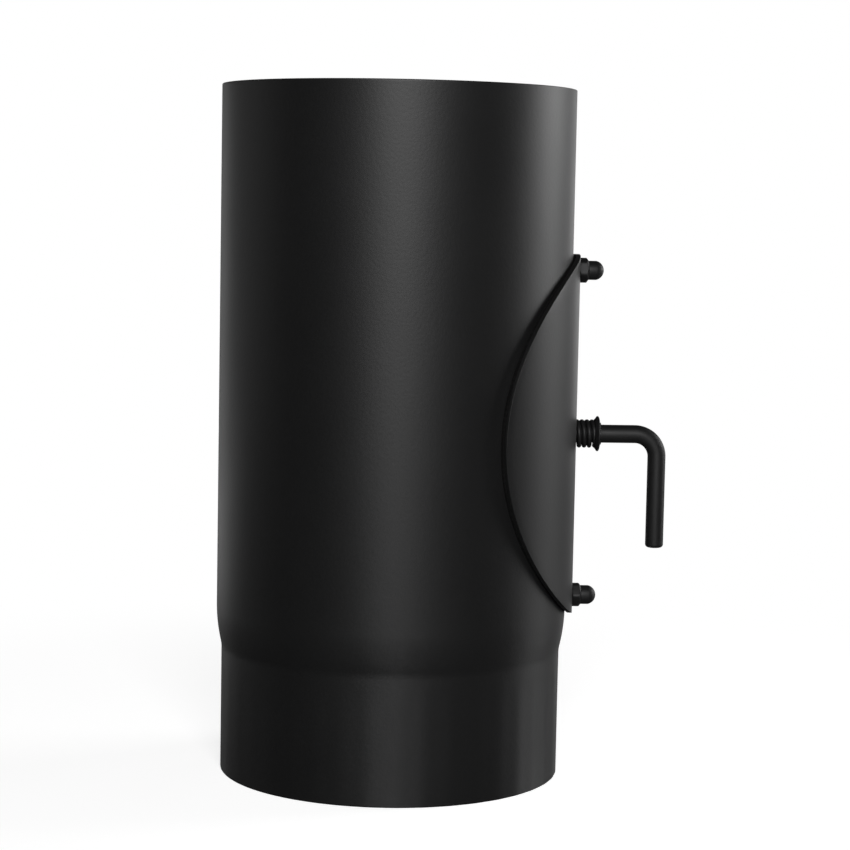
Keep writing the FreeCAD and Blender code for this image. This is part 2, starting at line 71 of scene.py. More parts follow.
class Carrier(Enum):
    """The body that a piece rides on."""

    PIPE = "pipe"
    DAMPER = "damper"


class Slot(Enum):
    """The material slot labels that the finishes carry."""

    PIPE_PAINT = "pipe_paint"
    HARDWARE = "hardware_black"
    STEEL = "plated_steel"
    GASKET = "gasket_fibre"


# Shader maths


class Link:
    """A shader value that sums can be written with."""

    def __init__(self, shader: "Shader", socket: bpy.types.NodeSocket) -> None:
        """Keep the shader and the output socket that the value comes from."""
        self.shader = shader
        self.socket = socket

    def output(self, name: str) -> "Link":
        """Another output of the same node, by its name."""
        return Link(self.shader, self.socket.node.outputs[name])

    def __add__(self, other: "Link | float") -> "Link":
        """Sum of two values."""
        return self.shader.maths("ADD", self, other)

    def __radd__(self, other: float) -> "Link":
        """Sum of a number and a value."""
        return self.shader.maths("ADD", other, self)

    def __sub__(self, other: "Link | float") -> "Link":
        """Difference of two values."""
        return self.shader.maths("SUBTRACT", self, other)

    def __rsub__(self, other: float) -> "Link":
        """Difference of a number and a value."""
        return self.shader.maths("SUBTRACT", other, self)

    def __mul__(self, other: "Link | float") -> "Link":
        """Product of two values."""
        return self.shader.maths("MULTIPLY", self, other)

    def __rmul__(self, other: float) -> "Link":
        """Product of a number and a value."""
        return self.shader.maths("MULTIPLY", other, self)

    def largest(self, other: "Link") -> "Link":
        """The larger of two values."""
        return self.shader.maths("MAXIMUM", self, other)

    def ramp(self, low: float, high: float) -> "Link":
        """A smooth step from 0 to 1.

        Args:
            low: the value at which the step starts.
            high: the value at which it ends.

        Returns:
            The step's height.
        """
        settings = {"interpolation_type": "SMOOTHSTEP", "clamp": True}
        sockets = {"Value": self, "From Min": low, "From Max": high}
        return self.shader.node("ShaderNodeMapRange", settings, sockets)


class Shader:
    """The node tree of one material or of the world."""

    def __init__(self, tree: bpy.types.NodeTree) -> None:
        """Start from a tree with nothing but its output.

        Args:
            tree: the node tree of a new material or world.
        """
        self.tree = tree
        self.end = tree.get_output_node("ALL")
        for spare in [node for node in tree.nodes if node != self.end]:
            tree.nodes.remove(spare)

    def node(self, kind: str, settings: Settings, sockets: Sockets, output: str | int = 0) -> Link:
        """Add a node.

        Args:
            kind: the node's type name.
            settings: its properties, set before its sockets.
            sockets: a value or a link for each input, by name or by place.
            output: the output to hand back, by name or by place.

        Returns:
            The chosen output.
        """
        made = self.tree.nodes.new(kind)
        for name, value in settings.items():
            setattr(made, name, value)
        for key, value in sockets.items():
            if isinstance(value, Link):
                self.tree.links.new(value.socket, made.inputs[key])
            else:
                made.inputs[key].default_value = value
        return Link(self, made.outputs[output])

    def maths(self, operation: str, first: Link | float, second: Link | float) -> Link:
        """The result of a sum on two values."""
        return self.node("ShaderNodeMath", {"operation": operation}, {0: first, 1: second})

    def place(self) -> Link:
        """The place on the piece, in metres."""
        return self.node("ShaderNodeTexCoord", {}, {}, output="Object")

    def noise(self, grain_mm: float, detail: float, stretch: Point | None = None) -> Link:
        """Noise of a real size.

        Args:
            grain_mm: the size of one patch, in millimetres.
            detail: how many finer layers it holds.
            stretch: how much longer a patch is along each axis.

        Returns:
            The noise, from 0 to 1.
        """
        where = self.place()
        if stretch:
            squeeze = {"Vector": where, "Scale": tuple(1 / s for s in stretch)}
            where = self.node("ShaderNodeMapping", {}, squeeze)
        sockets = {"Vector": where, "Scale": 1 / (grain_mm * MM), "Detail": detail}
        return self.node("ShaderNodeTexNoise", {}, sockets)

    def blend(self, share: Link, low: Colour, high: Colour) -> Link:
        """A colour between two, by a value from 0 to 1."""
        sockets = {"Factor": share, MIX_LOW: (*low, 1.0), MIX_HIGH: (*high, 1.0)}
        return self.node("ShaderNodeMix", {"data_type": "RGBA"}, sockets, output=MIX_RESULT)

    def bump(self, height: Link, depth_mm: float, strength: float) -> Link:
        """A surface normal from a height, with the depth of the relief in millimetres."""
        sockets = {"Height": height, "Distance": depth_mm * MM, "Strength": strength}
        return self.node("ShaderNodeBump", {}, sockets)

    def surface(self, link: Link) -> None:
        """End the tree with a surface."""
        self.tree.links.new(link.socket, self.end.inputs["Surface"])


# Finishes


@dataclass(frozen=True)
class Finish(ABC):
    """A finish: its name, the slot label that it carries and its two shades."""

    name: str
    slot: Slot
    dark: Colour
    light: Colour

    @abstractmethod
    def sockets(self, shader: Shader) -> Sockets:
        """What the finish sets on its surface, by socket."""

    @cache
    def material(self) -> bpy.types.Material:
        """The finish's material, made on its first use.

        Returns:
            The material.
        """
        shader, made = new_material(self.name)
        shader.surface(shader.node("ShaderNodeBsdfPrincipled", {}, self.sockets(shader)))
        return made


@dataclass(frozen=True)
class Paint(Finish):
    """A sprayed matt black film with a fine grain."""

    roughness: float
    roughness_spread: float
    grain_mm: float
    grain_depth_mm: float
    patch_mm: float
    gloss: float = 0.5
    grain_strength: float = 0.6
    grain_detail: float = 2.0
    patch_detail: float = 3.0
    drift_stretch: Point = (1.0, 1.0, 6.0)
    patch_share: float = 0.45
    drift_share: float = 0.2
    grain_share: float = 0.35

    def sockets(self, shader: Shader) -> Sockets:
        """The film: a fine grain, with soft patches and long upright drifts of the spray.

        Args:
            shader: the material's node tree.

        Returns:
            The surface's values, by socket.
        """
        grain = shader.noise(self.grain_mm, self.grain_detail)
        patch = shader.noise(self.patch_mm, self.patch_detail)
        drift = shader.noise(self.patch_mm, self.grain_detail, self.drift_stretch)
        shade = self.patch_share * patch + self.drift_share * drift + self.grain_share * grain
        return {
            "Base Color": shader.blend(shade, self.dark, self.light),
            "Roughness": self.roughness + self.roughness_spread * (patch + drift - 2 * NOISE_MIDDLE),
            "Normal": shader.bump(grain, self.grain_depth_mm, self.grain_strength),
            "Specular IOR Level": self.gloss,
        }


@dataclass(frozen=True)
class Plating(Finish):
    """Dull zinc plate with faint turning marks."""

    roughness: float
    roughness_spread: float = 0.12
    cloud_mm: float = 3.0
    cloud_detail: float = 4.0
    mark_mm: float = 0.3
    mark_detail: float = 2.0
    mark_stretch: Point = (1.0, 12.0, 12.0)
    mark_depth_mm: float = 0.02
    mark_strength: float = 0.4

    def sockets(self, shader: Shader) -> Sockets:
        """The plate: cloudy zinc over the tool's marks.

        Args:
            shader: the material's node tree.

        Returns:
            The surface's values, by socket.
        """
        cloud = shader.noise(self.cloud_mm, self.cloud_detail)
        marks = shader.noise(self.mark_mm, self.mark_detail, self.mark_stretch)
        return {
            "Base Color": shader.blend(cloud, self.dark, self.light),
            "Metallic": 1.0,
            "Roughness": self.roughness + self.roughness_spread * (cloud - NOISE_MIDDLE),
            "Normal": shader.bump(marks, self.mark_depth_mm, self.mark_strength),
        }


@dataclass(frozen=True)
class Fibre(Finish):
    """Dark glass fibre cloth, pressed flat."""

    yarn_mm: float
    yarn_waver: float = 0.4
    fuzz_mm: float = 0.25
    fuzz_detail: float = 3.0
    weave_share: float = 0.6
    fuzz_share: float = 0.4
    roughness: float = 0.85
    roughness_spread: float = 0.1
    relief_mm: float = 0.15
    relief_strength: float = 0.7
    gloss: float = 0.15

    def yarns(self, shader: Shader, direction: str) -> Link:
        """The yarns that lie side by side along one axis.

        Args:
            shader: the material's node tree.
            direction: the axis that the yarns follow each other along.

        Returns:
            The yarns' height.
        """
        settings = {"wave_type": "BANDS", "bands_direction": direction}
        scale = 1 / (self.yarn_mm * MM * FULL_TURN)
        sockets = {"Vector": shader.place(), "Scale": scale, "Distortion": self.yarn_waver}
        return shader.node("ShaderNodeTexWave", settings, sockets)

    def sockets(self, shader: Shader) -> Sockets:
        """The cloth: two sets of yarns that cross, with fuzz on them.

        Args:
            shader: the material's node tree.

        Returns:
            The surface's values, by socket.
        """
        fuzz = shader.noise(self.fuzz_mm, self.fuzz_detail)
        weave = self.yarns(shader, "Y") * self.yarns(shader, "Z")
        shade = self.weave_share * weave + self.fuzz_share * fuzz
        relief = weave + self.fuzz_share * fuzz
        return {
            "Base Color": shader.blend(shade, self.dark, self.light),
            "Roughness": self.roughness + self.roughness_spread * (fuzz - NOISE_MIDDLE),
            "Normal": shader.bump(relief, self.relief_mm, self.relief_strength),
            "Specular IOR Level": self.gloss,
        }


def new_material(name: str) -> tuple[Shader, bpy.types.Material]:
    """Make a node material.

    Args:
        name: the material's name.

    Returns:
        The shader of its node tree, and the material.
    """
    made = bpy.data.materials.new(name)
    made.use_nodes = True
    return Shader(made.node_tree), made


STOVE_PAINT = Paint(
    name="stove_paint",
    slot=Slot.PIPE_PAINT,
    dark=(0.007, 0.007, 0.0072),
    light=(0.015, 0.015, 0.0153),
    roughness=0.45,
    roughness_spread=0.06,
    grain_mm=1.4,
    grain_depth_mm=0.06,
    patch_mm=45.0,
)
SATIN_BLACK = Paint(
    name="satin_black",
    slot=Slot.HARDWARE,
    dark=(0.008, 0.008, 0.0082),
    light=(0.016, 0.016, 0.0162),
    roughness=0.53,
    roughness_spread=0.1,
    grain_mm=0.25,
    grain_depth_mm=0.03,
    patch_mm=5.0,
)
ZINC = Plating(
    name="zinc_plate",
    slot=Slot.STEEL,
    dark=(0.42, 0.42, 0.41),
    light=(0.62, 0.62, 0.6),
    roughness=0.42,
)
GLASS_FIBRE = Fibre(
    name="glass_fibre",
    slot=Slot.GASKET,
    dark=(0.004, 0.004, 0.004),
    light=(0.012, 0.012, 0.012),
    yarn_mm=1.2,
)


# Meshes


class Skin:
    """The surface of one piece, gathered in millimetres."""

    def __init__(self) -> None:
        """Start with no points and no faces."""
        self.points: list[Point] = []
        self.faces: list[tuple[int, ...]] = []

    def rows(self, rows: Sequence[Sequence[Point]], loop: bool = False) -> None:
        """Join closed rows of points with four-sided faces.

        Args:
            rows: the rows, all of one length.
            loop: whether the last row joins the first.
        """
        start = len(self.points)
        width = len(rows[0])
        for row in rows:
            self.points.extend(row)
        for i in range(len(rows) if loop else len(rows) - 1):
            low = start + i * width
            high = start + (i + 1) % len(rows) * width
            for j in range(width):
                k = (j + 1) % width
                self.faces.append((low + j, low + k, high + k, high + j))

    def lid(self, row: Sequence[Point], flip: bool = False) -> None:
        """Close a row with one flat face.

        Args:
            row: the row's points.
            flip: whether the face looks the other way.
        """
        start = len(self.points)
        self.points.extend(row)
        order = range(start, start + len(row))
        self.faces.append(tuple(reversed(order)) if flip else tuple(order))

    def tube(self, rows: Sequence[Sequence[Point]]) -> "Skin":
        """Join rows to a tube with flat ends.

        Args:
            rows: the rows, all of one length.

        Returns:
            This surface.
        """
        self.rows(rows)
        self.lid(rows[0], flip=True)
        self.lid(rows[-1])
        return self

    def moved(self, matrix: Matrix) -> "Skin":
        """The same surface, moved by a matrix in millimetres."""
        self.points = [tuple(matrix @ Vector(point)) for point in self.points]
        return self

    def join(self, other: "Skin") -> None:
        """Set another surface beside this one.

        Args:
            other: the surface to add.
        """
        start = len(self.points)
        self.points.extend(other.points)
        self.faces.extend(tuple(start + n for n in face) for face in other.faces)

    def piece(self, name: str, crisp_degrees: float = CRISP_DEGREES) -> bpy.types.Object:
        """Make the object.

        Args:
            name: the piece's name.
            crisp_degrees: edges that bend more than this stay crisp.

        Returns:
            The new object, smooth between its crisp edges.
        """
        mesh = bpy.data.meshes.new(name)
        mesh.from_pydata([tuple(c * MM for c in point) for point in self.points], [], self.faces)
        made = bpy.data.objects.new(name, mesh)
        bpy.context.collection.objects.link(made)
        weld = made.modifiers.new("weld", "WELD")
        weld.merge_threshold = MERGE_DISTANCE * MM
        apply_modifiers(made)
        smooth(made, crisp_degrees)
        return made


def smooth(piece: bpy.types.Object, crisp_degrees: float) -> None:
    """Shade a piece smooth between the edges that bend more than an angle."""
    piece.data.polygons.foreach_set("use_smooth", [True] * len(piece.data.polygons))
    piece.data.set_sharp_from_angle(angle=math.radians(crisp_degrees))


def apply_modifiers(piece: bpy.types.Object) -> None:
    """Put the result of a piece's modifiers into its own mesh.

    Args:
        piece: the piece, which keeps no modifier.
    """
    graph = bpy.context.evaluated_depsgraph_get()
    mesh = bpy.data.meshes.new_from_object(piece.evaluated_get(graph))
    piece.modifiers.clear()
    old = piece.data
    piece.data = mesh
    bpy.data.meshes.remove(old)


def arc(centre: Pair, radius: float, start: float, end: float, steps: int) -> list[Pair]:
    """Points along an arc.

    Args:
        centre: the arc's centre.
        radius: its radius.
        start: the first angle, in degrees.
        end: the last angle, in degrees.
        steps: the number of straight steps.

    Returns:
        The points, both ends included.
    """
    angles = np.radians(np.linspace(start, end, steps + 1))
    return [(centre[0] + radius * math.cos(a), centre[1] + radius * math.sin(a)) for a in angles]


def around(steps: int) -> np.ndarray:
    """Even angles round a full turn, in radians."""
    return np.linspace(0, FULL_TURN, steps, endpoint=False)


def around_z(radius: Callable[[float], float], height: float, angles: Iterable[float]) -> list[Point]:
    """A row about the upright axis, with a radius that may change with the angle."""
    return [(radius(a) * math.cos(a), radius(a) * math.sin(a), height) for a in angles]


def along_x(x: float, height: float) -> Matrix:
    """The move that lays an upright piece along the spindle, with its foot at x."""
    return Matrix.Translation((x, 0, height)) @ Matrix.Rotation(math.pi / 2, 4, "Y")


def drill(radius: float, x: float, height: float) -> Skin:
    """The cutter of a round hole through sheet, drilled along the spindle's direction.

    Args:
        radius: the hole's radius.
        x: where the sheet is.
        height: the height of the hole's axis.

    Returns:
        The cutter, in its place.
    """
    angles = around(DRILL_STEPS)
    rows = [around_z(lambda a: radius, level, angles) for level in (0.0, 2 * DRILL_REACH)]
    return Skin().tube(rows).moved(along_x(x - DRILL_REACH, height))


def cut_away(piece: bpy.types.Object, cutters: Sequence[Skin]) -> None:
    """Cut holes in a piece.

    Args:
        piece: the piece to cut.
        cutters: closed surfaces that take away what they hold.
    """
    tools = [cutter.piece(f"cutter_{n}") for n, cutter in enumerate(cutters)]
    for tool in tools:
        step = piece.modifiers.new("cut", "BOOLEAN")
        step.operation = "DIFFERENCE"
        step.solver = "EXACT"
        step.object = tool
    apply_modifiers(piece)
    for tool in tools:
        mesh = tool.data
        bpy.data.objects.remove(tool)
        bpy.data.meshes.remove(mesh)
    smooth(piece, CRISP_DEGREES)


def coat(piece: bpy.types.Object, material: bpy.types.Material) -> None:
    """Give a piece one material all over."""
    piece.data.materials.clear()
    piece.data.materials.append(material)


def place(piece: bpy.types.Object, carrier: Carrier, finish: Finish, *nodes: str) -> None:
    """Finish a new piece: its material, its body and the solids that it stands for.

    Args:
        piece: the new piece.
        carrier: the body that it rides on.
        finish: its finish.
        nodes: the solids that it stands for.
    """
    coat(piece, finish.material())
    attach(piece, carrier.value)
    for node in nodes:
        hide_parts(node)
    LOG.info("%s: %d faces", piece.name, len(piece.data.polygons))


# Pieces, with sizes in millimetres, angles in degrees and the weld's drift in radians


@dataclass(frozen=True)
class Layout:
    """The sizes that several pieces share."""

    axis_height: float = 150.0
    door_inside: float = 78.2
    door_thickness: float = 2.0
    spindle_hole: float = 4.1
    stud_offset: float = 72.2

    @property
    def door_face(self) -> float:
        """How far the door's outer face is from the pipe's axis."""
        return self.door_inside + self.door_thickness

    @property
    def stud_heights(self) -> Pair:
        """The heights of the upper and the lower stud."""
        return self.axis_height + self.stud_offset, self.axis_height - self.stud_offset


LAYOUT = Layout()


def rolled(flat: float, radius: float, neutral: float, steps: int) -> list[Point]:
    """A circle drawn on flat sheet, rolled about the pipe's axis, with its centre on the spindle.

    Args:
        flat: the circle's radius on the flat sheet.
        radius: the radius of the rolled surface that it lies on.
        neutral: the radius at which the sheet keeps its length.
        steps: the number of points.

    Returns:
        The closed row of points.
    """
    row = []
    for a in around(steps):
        turn = flat * math.cos(a) / neutral
        height = LAYOUT.axis_height + flat * math.sin(a)
        row.append((radius * math.cos(turn), radius * math.sin(turn), height))
    return row


@dataclass
class PipeSection:
    """The rolled and welded pipe, necked to a spigot below, with the cleaning opening in its side."""

    length: float = 300.0
    wall: float = 2.0
    outside: float = 77.0
    spigot_outside: float = 74.75
    spigot_length: float = 55.5
    shoulder_rise: float = 18.0
    shoulder_corner: float = 15.0
    rim_round: float = 0.4
    rim_inset: float = 1.0
    opening_half: float = 65.0
    opening_steps: int = 160
    cutter_near: float = 14.6
    cutter_far: float = 110.6
    stud_radius: float = 3.0
    press_marks: int = 40
    press_depth: float = 0.11
    press_phase: float = 4.0
    press_side: float = -30.0
    press_front: float = 0.4
    press_focus: int = 4
    press_end: float = 4.0
    press_fade: float = 6.0
    weld_angle: float = 90.0
    weld_half_width: float = 0.9
    weld_rise: float = 0.28
    weld_sunk: float = 0.1
    weld_inset: float = 0.6
    weld_ripple: float = 1.1
    weld_ripple_share: float = 0.16
    weld_drift_rate: float = 0.37
    weld_drift_start: float = 1.3
    weld_drift_share: float = 0.1
    weld_crisp: float = 60.0
    weld_points: int = 9
    ripple_steps: int = 4
    round_steps: int = 400
    foot_rows: int = 12
    hollow_steps: int = 10
    bulge_steps: int = 14
    wall_rows: int = 16
    rim_rows: int = 5

    def side(self, depth: float) -> list[Pair]:
        """The pipe's side from its foot to its top, as pairs of radius and height.

        Args:
            depth: how far inside the outer surface the line runs.

        Returns:
            The points, without the two rims.
        """
        top = self.spigot_length + self.shoulder_rise
        step = self.outside - self.spigot_outside
        crown = (step ** 2 + self.shoulder_rise ** 2) / (2 * step)
        reach = self.spigot_outside + self.shoulder_corner - self.outside + crown
        drop = math.sqrt((crown + self.shoulder_corner) ** 2 - reach ** 2)
        lean = math.degrees(math.atan2(drop, reach))
        corner = (self.spigot_outside + self.shoulder_corner, top - drop)
        spigot_rows = np.linspace(self.rim_inset, corner[1] - self.rim_inset, self.foot_rows)
        foot = [(self.spigot_outside - depth, height) for height in spigot_rows]
        hollow = arc(corner, self.shoulder_corner + depth, 180.0, 180.0 - lean, self.hollow_steps)
        bulge = arc((self.outside - crown, top), crown - depth, -lean, 0.0, self.bulge_steps)
        pipe_rows = np.linspace(top, self.length - self.rim_inset, self.wall_rows)
        wall = [(self.outside - depth, height) for height in pipe_rows]
        return foot + hollow + bulge[1:] + wall[1:]

    def rim(self, height: float, depth: float, upward: int) -> list[Pair]:
        """One rounded edge of a rim.

        Args:
            height: the rim's height.
            depth: 0 for the outer edge, or the wall for the inner one.
            upward: 1 for the upper rim, or -1 for the lower one.

        Returns:
            The edge's points, from the side to the rim's flat.
        """
        radius = (self.outside if upward > 0 else self.spigot_outside) - depth
        inward = -1 if depth == 0 else 1
        across = radius + inward * self.rim_round
        up = height - upward * self.rim_round
        edge = []
        for a in np.radians(np.linspace(0, 90, self.rim_rows)):
            out = across - inward * self.rim_round * math.cos(a)
            edge.append((out, up + upward * self.rim_round * math.sin(a)))
        return edge

    def profile(self, depth: float) -> list[Pair]:
        """The side with its two rounded rims, as far inside the outer surface as the depth says."""
        return self.rim(0.0, depth, -1)[::-1] + self.side(depth) + self.rim(self.length, depth, 1)

    def pressed(self, radius: float, height: float, angle: float) -> float:
        """The radius where the necking tool left shallow flats on the spigot.

        Args:
            radius: the radius without the flats.
            height: the height on the pipe.
            angle: the angle round the pipe, in radians.

        Returns:
            The radius at that place.
        """
        fade = min(max((self.spigot_length - self.press_end - height) / self.press_fade, 0.0), 1.0)
        near = (0.5 + 0.5 * math.cos(angle - math.radians(self.press_side))) ** self.press_focus
        depth = self.press_depth * fade * (self.press_front + (1 - self.press_front) * near)
        mark = self.press_marks * (angle - math.radians(self.press_phase))
        return radius - depth * (0.5 + 0.5 * math.cos(mark))

    def opening(self) -> Skin:
        """The cutter of the cleaning opening: a circle of flat sheet, rolled to the pipe.

        Returns:
            The cutter, with flat ends well inside and outside the pipe.
        """
        inner = self.outside - 2 * self.wall
        outer = self.outside + self.wall
        neutral = (inner + outer) / 2
        low, high = [rolled(self.opening_half, r, neutral, self.opening_steps) for r in (inner, outer)]
        near = [(self.cutter_near, y, z) for _, y, z in low]
        far = [(self.cutter_far, y, z) for _, y, z in high]
        return Skin().tube([near, low, high, far])

    def build_shell(self) -> bpy.types.Object:
        """Build the pipe with its holes.

        Returns:
            The pipe's object.
        """
        angles = around(self.round_steps)
        line = self.profile(0.0) + self.profile(self.wall)[::-1]
        shell = Skin()
        shell.rows([around_z(partial(self.pressed, r, h), h, angles) for r, h in line], loop=True)
        piece = shell.piece("pipe_shell")
        holes = [self.opening(), drill(LAYOUT.spindle_hole, -self.outside, LAYOUT.axis_height)]
        holes += [drill(self.stud_radius, self.outside, height) for height in LAYOUT.stud_heights]
        cut_away(piece, holes)
        return piece

    def build_weld(self) -> bpy.types.Object:
        """Build the weld that closes the rolled sheet, at the back.

        Returns:
            The weld's object.
        """
        foot = (self.spigot_outside, self.weld_inset)
        top = (self.outside, self.length - self.weld_inset)
        line = np.array([foot, *self.side(0.0), top])
        along = np.concatenate([[0], np.cumsum(np.hypot(*np.diff(line, axis=0).T))])
        rows = []
        for s in np.arange(0, along[-1], self.weld_ripple / self.ripple_steps):
            radius = np.interp(s, along, line[:, 0])
            height = np.interp(s, along, line[:, 1])
            ripple = self.weld_ripple_share * math.sin(FULL_TURN * s / self.weld_ripple)
            drift = self.weld_drift_share * math.sin(s * self.weld_drift_rate + self.weld_drift_start)
            crest = self.weld_rise * (1 + ripple + drift)
            row = []
            for share in np.linspace(1, -1, self.weld_points):
                out = radius + crest * math.sqrt(1 - share ** 2) - self.weld_sunk
                turn = math.radians(self.weld_angle) - share * self.weld_half_width / radius
                row.append((out * math.cos(turn), out * math.sin(turn), height))
            rows.append(row)
        return Skin().tube(rows).piece("pipe_weld", self.weld_crisp)

    def dress(self) -> None:
        """Build the pipe and its weld and paint them."""
        place(self.build_shell(), Carrier.PIPE, STOVE_PAINT, "pipe_body")
        place(self.build_weld(), Carrier.PIPE, STOVE_PAINT)


@dataclass
class CleaningDoor:
    """The round plate, rolled to the pipe, that closes the cleaning opening."""

    half_width: float = 79.25
    outer_round: float = 0.15
    inner_round: float = 0.2
    stud_hole: float = 3.5
    round_steps: int = 240
    face_rows: int = 22
    outer_steps: int = 6
    inner_steps: int = 4

    def build(self) -> bpy.types.Object:
        """Build the door.

        Returns:
            The door's object.
        """
        inside, outside = LAYOUT.door_inside, LAYOUT.door_face
        neutral = (inside + outside) / 2
        outer_edge = self.half_width - self.outer_round
        inner_edge = self.half_width - self.inner_round
        reach = np.linspace(LAYOUT.spindle_hole, outer_edge, self.face_rows)
        line = [(r, outside) for r in reach]
        line += arc((outer_edge, outside - self.outer_round), self.outer_round, 90, 0, self.outer_steps)[1:]
        line += arc((inner_edge, inside + self.inner_round), self.inner_round, 0, -90, self.inner_steps)
        line += [(r, inside) for r in reach[::-1]]
        plate = Skin()
        plate.rows([rolled(flat, radius, neutral, self.round_steps) for flat, radius in line], loop=True)
        piece = plate.piece("door_plate")
        cut_away(piece, [drill(self.stud_hole, inside, height) for height in LAYOUT.stud_heights])
        return piece

    def dress(self) -> None:
        """Build the door and paint it."""
        place(self.build(), Carrier.PIPE, STOVE_PAINT, "cleaning_door")


@dataclass
class HandleBar:
    """The spindle and its handle, bent from one round bar, with a flat seat for the throttle plate."""

    diameter: float = 8.0
    far_end: float = -76.5
    far_chamfer: float = 0.6
    seat_half_length: float = 72.5
    seat_face: float = 1.0
    bend_radius: float = 10.0
    leg_x: float = 117.0
    handle_drop: float = 50.6
    foot_round: float = 1.5
    arc_points: int = 26
    flat_points: int = 22
    bend_rows: int = 25
    foot_rows: int = 9

    def section(self, scale: float = 1.0, flat: bool = False) -> list[Pair]:
        """One section of the bar, as pairs across and up.

        Args:
            scale: the share of the full radius.
            flat: whether the seat is cut away.

        Returns:
            The section's points, on the round part and then on the part that the seat takes.
        """
        radius = self.diameter / 2
        corner = math.acos(self.seat_face / radius)
        kept = np.linspace(-corner, corner, self.arc_points)
        taken = np.linspace(corner, FULL_TURN - corner, self.flat_points + 2)[1:-1]
        points = [(radius * scale * math.cos(a), radius * scale * math.sin(a)) for a in kept]
        if flat:
            edge = radius * math.sin(corner)
            heights = np.linspace(edge, -edge, self.flat_points + 2)[1:-1]
            return points + [(self.seat_face, h) for h in heights]
        return points + [(radius * scale * math.cos(a), radius * scale * math.sin(a)) for a in taken]

    def spindle(self) -> list[list[Point]]:
        """The rows of the spindle.

        Returns:
            The rows, from the far end to the end of the seat.
        """
        tip = self.section(1 - self.far_chamfer / (self.diameter / 2))
        full = self.section()
        seat = self.section(flat=True)
        stations = (
            (self.far_end, tip),
            (self.far_end + self.far_chamfer, full),
            (-self.seat_half_length, full),
            (-self.seat_half_length, seat),
            (self.seat_half_length, seat),
            (self.seat_half_length, full),
        )
        return [[(x, y, LAYOUT.axis_height + z) for y, z in section] for x, section in stations]

    def bend(self) -> list[list[Point]]:
        """The rows of the bend.

        Returns:
            The rows, from the spindle to the handle.
        """
        middle_x = self.leg_x - self.bend_radius
        middle_z = LAYOUT.axis_height - self.bend_radius
        rows = []
        for angle in np.radians(np.linspace(90, 0, self.bend_rows)):
            row = []
            for y, z in self.section():
                reach = self.bend_radius + z
                row.append((middle_x + reach * math.cos(angle), y, middle_z + reach * math.sin(angle)))
            rows.append(row)
        return rows

    def foot(self) -> list[list[Point]]:
        """The rows of the handle's rounded foot.

        Returns:
            The rows, from the round of the bar to the flat of the foot.
        """
        lowest = LAYOUT.axis_height - self.handle_drop
        rows = []
        for angle in np.radians(np.linspace(0, 90, self.foot_rows)):
            share = 1 - self.foot_round / (self.diameter / 2) * (1 - math.cos(angle))
            height = lowest + self.foot_round * (1 - math.sin(angle))
            rows.append([(self.leg_x + z, y, height) for y, z in self.section(share)])
        return rows

    def build(self) -> bpy.types.Object:
        """Build the bar."""
        return Skin().tube(self.spindle() + self.bend() + self.foot()).piece("handle_bar")

    def dress(self) -> None:
        """Build the bar and paint it."""
        place(self.build(), Carrier.DAMPER, SATIN_BLACK, "spindle_handle")


@dataclass
class FrictionSpring:
    """The coil that presses on the door and holds the handle where it is set."""

    wire: float = 2.0
    mean_radius: float = 5.3
    pitch: float = 2.25
    length: float = 8.3
    sunk: float = 0.3
    crisp: float = 50.0
    wire_points: int = 20
    turn_steps: int = 72

    def build(self) -> bpy.types.Object:
        """Build the coil, with its ends ground flat.

        Returns:
            The coil's object.
        """
        start, end = LAYOUT.door_face, LAYOUT.door_face + self.length
        turns = (self.length + 2 * self.sunk) / self.pitch
        slope = math.atan2(self.pitch, FULL_TURN * self.mean_radius)
        rows = []
        for t in np.linspace(0, turns * FULL_TURN, int(turns * self.turn_steps)):
            middle = start - self.sunk + self.pitch * t / FULL_TURN
            row = []
            for a in around(self.wire_points)[::-1]:
                outward = self.mean_radius + self.wire / 2 * math.cos(a)
                along = self.wire / 2 * math.sin(a)
                back = t - along * math.sin(slope) / outward
                x = min(max(middle + along * math.cos(slope), start), end)
                row.append((x, outward * math.sin(back), LAYOUT.axis_height - outward * math.cos(back)))
            rows.append(row)
        return Skin().tube(rows).piece("spring_coil", self.crisp)

    def dress(self) -> None:
        """Build the coil and paint it."""
        place(self.build(), Carrier.PIPE, SATIN_BLACK, "friction_spring")


